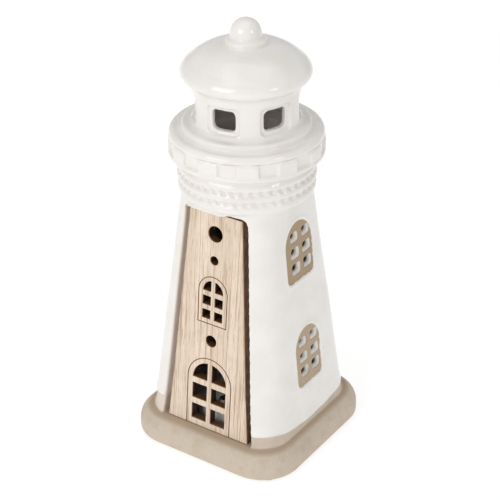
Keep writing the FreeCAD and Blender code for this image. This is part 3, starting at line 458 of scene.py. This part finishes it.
def recess_painted_shade(shader, side, depth, level):
    """How far a warm painted shade reaches on the walls of the panel's recess."""
    half = shader.plus(shader.panel_half(shader.minus(level, PLINTH_TOP)), RECESS_GAP)
    return shader.product(
        shader.ramp(depth, 0.8, 2.2), shader.ramp(shader.minus(side, half), 0.3, 0.9, 0.7, 0.0),
        shader.ramp(depth, 7.0, 8.0, 1.0, 0.0), shader.math("LESS_THAN", level, ROPE_LOW))


def white_glaze(shader, level, fine, edge, recess_shade):
    """White that pulls thin on edges, with warm painted shade in the recess and a few brown pinholes.
    """
    cloud = shader.noise(shader.stretched(), 0.12, 3.0)
    white = shader.mix(shader.ramp(cloud, 0.35, 0.7), rgb(234, 231, 227), rgb(229, 225, 219))
    thin = shader.product(
        shader.ramp(edge, 0.53, 0.60), shader.ramp(fine, 0.45, 0.75),
        shader.ramp(shader.apart(level, GALLERY_MIDDLE), 2.5, 5.0, 0.7, 0.35))
    white = shader.mix(thin, white, rgb(190, 168, 142))
    # painted shade: a warm tint on the recess walls beside the panel
    white = shader.mix(recess_shade, white, rgb(240, 224, 208))
    lip = shader.product(shader.ramp(shader.apart(level, GALLERY_LIP), 0.1, 0.32, 0.6, 0.0),
                         shader.ramp(cloud, 0.42, 0.58))
    white = shader.mix(lip, white, rgb(186, 164, 138))
    speck = shader.node("ShaderNodeTexVoronoi", "Distance", {
        "Vector": shader.stretched(), "Scale": 0.11, "Randomness": 1.0})
    return shader.mix(shader.ramp(speck, 0.012, 0.028, 0.75, 0.0), white, rgb(120, 92, 62))


def bare_clay(shader, x, level, grain, edge, bare):
    """Beige clay: stained on the plinth and browner in the fields; painted light makes the left of the
    plinth's top paler, and painted shade darkens a band at the tower's foot and the creases.
    """
    grainy = shader.ramp(grain, 0.3, 0.72)
    clay = shader.mix(grainy, rgb(190, 175, 157), rgb(206, 193, 177))
    stain = shader.noise(shader.stretched(), 0.22, 2.0)
    clay = shader.mix(shader.ramp(stain, 0.45, 0.75, 0.0, 0.5), clay, rgb(182, 165, 143))
    # painted light: the plinth's top is paler towards the left
    painted_left_light = shader.product(shader.ramp(x, -15.0, 5.0, 0.95, 0.2),
                           shader.ramp(level, PLINTH_TOP, PLINTH_TOP + 0.8))
    clay = shader.mix(painted_left_light, clay, rgb(222, 209, 195))
    # painted shade: a darker band where the plinth meets the tower
    painted_foot_shade = shader.product(shader.ramp(level, PLINTH_TOP - 1.3, PLINTH_TOP - 0.2),
                          shader.ramp(level, PLINTH_TOP, PLINTH_TOP + 0.4, 0.9, 0.0))
    brown = rgb(168, 147, 123)
    clay = shader.mix(painted_foot_shade, clay, brown)
    # painted shade: concave creases are darkened with the same brown
    clay = shader.mix(shader.ramp(edge, 0.44, 0.485, 0.5, 0.0), clay, brown)
    upper = shader.ramp(level, 45.0, 60.0)
    field_clay = shader.mix(upper, rgb(194, 174, 149), rgb(176, 152, 122))
    field_clay = shader.mix(grainy, field_clay, rgb(162, 142, 117))
    return shader.mix(bare, clay, field_clay)


def glaze_and_clay():
    """Glossy white glaze over bare beige clay: the plinth, the tower's foot and the side windows'
    fields are bare, and the clay shows faintly where the glaze pulls thin on edges."""
    shader = Shader("glazed_clay", IOR=1.5)
    x, y, z = shader.place()
    level = shader.minus(z, LIFT)
    side = shader.math("ABSOLUTE", x)
    face = shader.math("MULTIPLY_ADD", level, -TOWER_SLOPE, TOWER_LOW_HALF + TOWER_SLOPE * PLINTH_TOP)
    from_side = shader.minus(face, side)
    fine = shader.noise(shader.stretched(), 0.9, 3.0)
    ragged = shader.product(shader.minus(fine, 0.5), 0.5)
    edge = shader.node("ShaderNodeNewGeometry", "Pointiness")
    grain = shader.noise(shader.stretched(), 3.2, 4.0, 0.65)

    bare = bare_fields(shader, from_side, y, level, ragged)
    glazed = shader.product(glaze_cover(shader, level, shader.math("ARCTAN2", y, x), ragged),
                            shader.minus(1.0, bare))
    # where painted shade warms the walls of the panel's recess
    recess_shade = recess_painted_shade(shader, side, shader.plus(y, face), level)
    color = shader.mix(glazed, bare_clay(shader, x, level, grain, edge, bare),
                       white_glaze(shader, level, fine, edge, recess_shade))
    # painted shade: the deep parts of the side holes are darkened with rgb(58, 50, 43)
    color = shader.mix(painted_hole_shade(shader, from_side, y, level, ragged), color, rgb(58, 50, 43))

    ripple = shader.noise(shader.stretched(), 0.55, 2.0)
    roughness = shader.ramp(glazed, 0, 1, 0.78, 0.08, smooth=False)
    skin = shader.product(grain, shader.ramp(glazed, 0, 1, 1.0, 0.05, smooth=False), 0.12)
    height = shader.plus(skin, shader.product(ripple, 0.10))
    return shader.finish(color, roughness, shader.bump(height, 0.6 * MM, 0.7))


def inside_clay():
    """The inside of the casting: unglazed and darker below, glazed in the head, where its pale colour
    is partly painted light.
    """
    shader = Shader("inside_clay")
    grain = shader.noise(shader.stretched(), 1.6, 4.0, 0.6)
    color = shader.mix(shader.ramp(grain, 0.3, 0.7), rgb(112, 100, 88), rgb(140, 126, 112))
    glazed = shader.ramp(shader.place()[2], 88.0 + LIFT, 93.0 + LIFT)
    # partly painted light: the inside of the head is pale and glossy, standing for light inside the
    # lantern
    color = shader.mix(glazed, color, rgb(236, 230, 224))
    roughness = shader.ramp(glazed, 0, 1, shader.ramp(grain, 0.3, 0.7, 0.75, 0.9), 0.14)
    depth = shader.ramp(glazed, 0, 1, 0.2 * MM, 0.02 * MM)
    return shader.finish(color, roughness, shader.bump(grain, depth))


# ---------------------------------------------------------------- plywood panel

def wood_face(shader, inset, behind, streak, fibre):
    """Pale straight grain, browned along the cut edges and in the scored lines."""
    broad = shader.noise(shader.stretched(1.0, 0.1, 0.012), 0.25, 2.0)
    color = shader.mix(shader.ramp(broad, 0.35, 0.7), rgb(231, 213, 194), rgb(221, 202, 181))
    color = shader.mix(shader.ramp(streak, 0.51, 0.63, 0.0, 0.8), color, rgb(178, 148, 122))
    color = shader.mix(shader.ramp(fibre, 0.53, 0.66, 0.0, 0.55), color, rgb(156, 122, 96))
    smoke = shader.noise(shader.stretched(1.0, 1.0, 0.3), 0.5, 2.0)
    halo = shader.product(shader.ramp(inset, 0.1, 0.9, 0.75, 0.0), shader.ramp(smoke, 0.3, 0.7))
    color = shader.mix(halo, color, rgb(168, 130, 96))
    scored = shader.product(shader.ramp(behind, 0.15, 0.3), shader.ramp(behind, 0.8, 1.0, 1.0, 0.0))
    return shader.mix(scored, color, rgb(186, 148, 112))


def burnt_edge(shader, inset, behind, facing_up):
    """A brown burnt skin, golden next to the face; nearly black in the panes, partly burn and partly
    painted shade, and lighter with painted light on sills that face up.
    """
    burn = shader.noise(shader.stretched(1.0, 1.0, 0.4), 1.1, 3.0)
    edge = shader.mix(shader.ramp(burn, 0.35, 0.7), rgb(74, 50, 38), rgb(116, 86, 62))
    # partly painted shade: the edges deep in the panes are nearly black
    edge = shader.mix(shader.ramp(inset, 1.0, 1.5, 0.0, 0.8), edge, rgb(44, 29, 22))
    # painted light: edges that face up are lighter
    edge = shader.mix(shader.ramp(facing_up, 0.5, 0.8), edge, rgb(106, 70, 40))
    return shader.mix(shader.ramp(behind, 0.4, 0.55, 0.8, 0.0), edge, rgb(178, 138, 100))


def plywood():
    """Plywood that leans back with the tower, with a burnt skin on its laser-cut edges."""
    lean = math.atan(TOWER_SLOPE)
    sine, cosine = math.sin(lean), math.cos(lean)
    shader = Shader("plywood")
    x, y, z = shader.place()
    _, normal_y, normal_z = shader.axes(shader.node("ShaderNodeTexCoord", "Normal"))
    facing = shader.minus(shader.product(normal_y, -cosine), shader.product(normal_z, -sine))
    low_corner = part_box("front_panel")[0] / MM
    foot = low_corner[2] + PANEL_THICKNESS * sine
    behind = shader.minus(shader.minus(shader.product(y, cosine), shader.product(z, sine)),
                          low_corner[1] * cosine - foot * sine)
    inset = shader.minus(shader.panel_half(shader.minus(z, foot)), shader.math("ABSOLUTE", x))

    streak = shader.noise(shader.stretched(1.0, 0.1, 0.016), 1.7, 6.0, 0.68, 0.15)
    fibre = shader.noise(shader.stretched(1.0, 0.1, 0.035), 5.5, 3.0, 0.6)
    on_face = shader.ramp(shader.math("ABSOLUTE", facing), 0.55, 0.85)
    color = shader.mix(on_face, burnt_edge(shader, inset, behind, normal_z),
                       wood_face(shader, inset, behind, streak, fibre))
    roughness = shader.ramp(on_face, 0, 1, 0.5, 0.62, smooth=False)
    height = shader.plus(streak, shader.product(fibre, 0.6))
    return shader.finish(color, roughness, shader.bump(height, 0.12 * MM, 0.8))


# ---------------------------------------------------------------- small parts

def moulded_plastic(name, base, roughness, grain_scale=2.5, **sockets):
    """Injection-moulded plastic with a fine spark-eroded texture."""
    shader = Shader(name, **sockets)
    grain = shader.noise(shader.stretched(), grain_scale, 3.0, 0.6)
    cloud = shader.noise(shader.stretched(), 0.15, 2.0)
    dim = tuple(part * 0.9 for part in base[:3]) + (1.0,)
    color = shader.mix(shader.ramp(cloud, 0.35, 0.7), base, dim)
    return shader.finish(color, shader.ramp(grain, 0.3, 0.7, roughness - 0.06, roughness + 0.08),
                         shader.bump(grain, 0.04 * MM))


def brushed_metal(name, base, roughness, stretch=(1.0, 1.0, 1.0)):
    """Plated metal with fine scratches and slight tarnish."""
    shader = Shader(name, Metallic=1.0)
    scratch = shader.noise(shader.stretched(*stretch), 5.0, 4.0, 0.7)
    tarnish = shader.noise(shader.stretched(), 0.6, 2.0)
    dim = tuple(part * 0.72 for part in base[:3]) + (1.0,)
    color = shader.mix(shader.ramp(tarnish, 0.4, 0.75), base, dim)
    return shader.finish(color, shader.ramp(scratch, 0.3, 0.7, roughness, roughness + 0.18),
                         shader.bump(scratch, 0.02 * MM))


def felt():
    shader = Shader("felt", Sheen_Weight=0.4)
    fibre = shader.noise(shader.stretched(), 2.4, 6.0, 0.75, 1.5)
    color = shader.mix(shader.ramp(fibre, 0.35, 0.65), rgb(176, 168, 156), rgb(214, 208, 198))
    return shader.finish(color, shader.ramp(fibre, 0.3, 0.7, 0.88, 0.98), shader.bump(fibre, 0.3 * MM))


def hot_glue():
    shader = Shader("hot_glue", Transmission_Weight=0.35, IOR=1.48)
    cloud = shader.noise(shader.stretched(), 0.9, 3.0)
    color = shader.mix(shader.ramp(cloud, 0.3, 0.7), rgb(238, 228, 204), rgb(226, 212, 180))
    return shader.finish(color, shader.ramp(cloud, 0.3, 0.7, 0.2, 0.4), shader.bump(cloud, 0.1 * MM))


def circuit_board():
    """Green solder resist with faint copper runs under it."""
    shader = Shader("circuit_board", Coat_Weight=0.3)
    x, y, _ = shader.place()
    run = shader.math("PINGPONG", shader.plus(x, shader.product(y, 0.35)), 1.1)
    copper = shader.ramp(run, 0.75, 0.85)
    patch = shader.ramp(shader.noise(shader.stretched(), 0.18, 1.0), 0.48, 0.52)
    color = shader.mix(shader.product(copper, patch), rgb(18, 86, 48), rgb(44, 128, 72))
    return shader.finish(color, shader.ramp(patch, 0, 1, 0.3, 0.4), shader.bump(copper, 0.03 * MM))


def led_resin():
    """Clear resin with a warm tint and a little haze inside."""
    shader = Shader("led_resin", Transmission_Weight=0.8, IOR=1.53)
    haze = shader.noise(shader.stretched(), 1.2, 2.0)
    color = shader.mix(shader.ramp(haze, 0.3, 0.7), rgb(252, 238, 190), rgb(244, 222, 160))
    return shader.finish(color, shader.ramp(haze, 0.3, 0.7, 0.06, 0.14))


def banded_resistor():
    """Beige lacquer with colour bands across its length."""
    shader = Shader("resistor_lacquer", Coat_Weight=0.5)
    low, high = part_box("resistor")[0][0] / MM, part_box("resistor")[1][0] / MM
    middle = (low + high) / 2
    x = shader.place()[0]
    color = shader.mix(shader.ramp(shader.noise(shader.stretched(), 1.5, 2.0), 0.3, 0.7),
                       rgb(222, 196, 150), rgb(206, 178, 130))
    bands = ((-1.9, rgb(120, 66, 30)), (-0.8, rgb(20, 20, 20)), (0.2, rgb(160, 60, 30)),
             (1.8, rgb(200, 160, 60)))
    for along, paint in bands:
        off_band = shader.apart(x, middle + along)
        color = shader.mix(shader.ramp(off_band, 0.26, 0.32, 1.0, 0.0), color, paint)
    wire = shader.ramp(shader.apart(x, middle), 2.75, 2.85)
    color = shader.mix(wire, color, rgb(190, 190, 192))
    return shader.finish(color, shader.ramp(wire, 0, 1, 0.3, 0.25), metallic=wire)


def dress_nodes():
    """Materials for the CAD nodes that stay as they are."""
    white = moulded_plastic("white_plastic", rgb(236, 235, 230), 0.42)
    door = moulded_plastic("door_plastic", rgb(232, 231, 226), 0.48, 3.2)
    black = moulded_plastic("black_plastic", rgb(34, 34, 35), 0.45)
    steel = brushed_metal("zinc_steel", rgb(186, 187, 190), 0.28)
    wire = brushed_metal("tinned_wire", rgb(200, 200, 202), 0.22, (1.0, 1.0, 0.1))
    spring = brushed_metal("spring_strip", rgb(206, 198, 176), 0.25, (1.0, 0.1, 0.1))
    cell = brushed_metal("cell_steel", rgb(196, 197, 199), 0.24, (0.1, 1.0, 1.0))
    dressed = {
        "front_panel": plywood(), "panel_glue": hot_glue(), "foot_pads": felt(),
        "unit_housing": white, "unit_cover": white, "battery_door": door,
        "unit_seal_ring": moulded_plastic("silicone", rgb(200, 198, 192), 0.6),
        "cover_screws": steel, "door_screw": steel, "led_board": circuit_board(),
        "led_lamp": led_resin(), "led_leads": wire, "switch_terminals": wire,
        "resistor": banded_resistor(),
        "timer_chip": moulded_plastic("chip_resin", rgb(30, 30, 32), 0.5, 4.0),
        "switch_body": brushed_metal("switch_can", rgb(196, 196, 196), 0.3),
        "switch_slider": black, "coin_cell": cell, "positive_contact": spring,
        "negative_contact": spring,
    }
    for name, material in dressed.items():
        mesh = NODES[name].data
        mesh.materials.clear()
        mesh.materials.append(material)


# ---------------------------------------------------------------- stage, light and camera

def floor():
    """A broad pale table that lights itself a little, so that it stays white with hardly a shadow."""
    reach = 3.0
    corners = ((-reach, -reach, 0), (reach, -reach, 0), (reach, reach, 0), (-reach, reach, 0))
    mesh = bpy.data.meshes.new("floor")
    mesh.from_pydata(corners, [], [(0, 1, 2, 3)])
    plane = bpy.data.objects.new("floor", mesh)
    bpy.context.scene.collection.objects.link(plane)
    shader = Shader("lit_table", Roughness=0.9, Specular_IOR_Level=0.2, Emission_Strength=0.65,
                    Emission_Color=(1, 1, 1, 1))
    tone = shader.noise(shader.stretched(), 0.01, 1.0)
    mesh.materials.append(shader.finish(shader.mix(tone, (0.47, 0.47, 0.47, 1), (0.49, 0.49, 0.49, 1))))


def towards(azimuth, elevation):
    """The direction from the object to a place round it. Azimuth 0 is in front, at -Y."""
    return Vector((math.sin(azimuth) * math.cos(elevation), -math.cos(azimuth) * math.cos(elevation),
                   math.sin(elevation)))


def area_light(name, azimuth, elevation, distance, size, power):
    """A soft box that looks at the middle of the object."""
    away = towards(math.radians(azimuth), math.radians(elevation))
    light = bpy.data.lights.new(name, "AREA")
    light.shape = "RECTANGLE"
    light.size, light.size_y = size
    light.energy = power
    item = bpy.data.objects.new(name, light)
    item.location = Vector((0, 0, TOP / 2 * MM)) + away * distance
    item.rotation_euler = away.to_track_quat("Z", "Y").to_euler()
    bpy.context.scene.collection.objects.link(item)


def lights():
    """A white room with a broad soft box at the left of the front, a narrow one at the right and
    one overhead."""
    world = bpy.data.worlds.new("studio")
    world.use_nodes = True
    world.node_tree.nodes["Background"].inputs["Color"].default_value = (1, 1, 1, 1)
    world.node_tree.nodes["Background"].inputs["Strength"].default_value = 0.545
    bpy.context.scene.world = world
    bpy.context.scene.view_settings.view_transform = "Standard"
    area_light("soft_box_left", -8, 25, 1.1, (0.72, 0.50), 3.9)
    area_light("soft_box_right", 82, 25, 1.1, (0.24, 0.28), 1.15)
    area_light("overhead", 20, 84, 1.3, (1.2, 1.2), 3.5)


def camera():
    """Above and to the right of the front, with a long lens."""
    azimuth, elevation, roll = math.radians(34.507), math.radians(29.683), -0.009
    distance, aim_level = 497.53, 64.05
    target = Vector((0, 0, (aim_level + LIFT) * MM))
    back = towards(azimuth, elevation)
    right = Vector((math.cos(azimuth), math.sin(azimuth), 0))
    up = back.cross(right)
    right, up = (right * math.cos(roll) + up * math.sin(roll),
                 up * math.cos(roll) - right * math.sin(roll))
    data = bpy.data.cameras.new("camera")
    data.sensor_width = 36
    data.lens = 112.21
    data.shift_x, data.shift_y = 0.00434, 0.0025
    data.clip_start, data.clip_end = 0.01, 20
    item = bpy.data.objects.new("camera", data)
    axes = Matrix((right, up, back)).transposed()
    item.matrix_world = Matrix.Translation(target + back * (distance * MM)) @ axes.to_4x4()
    bpy.context.scene.collection.objects.link(item)
    bpy.context.scene.camera = item


shell = ceramic_shell()
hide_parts("ceramic_body")
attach(shell, "figurine")
dress_nodes()
floor()
lights()
camera()
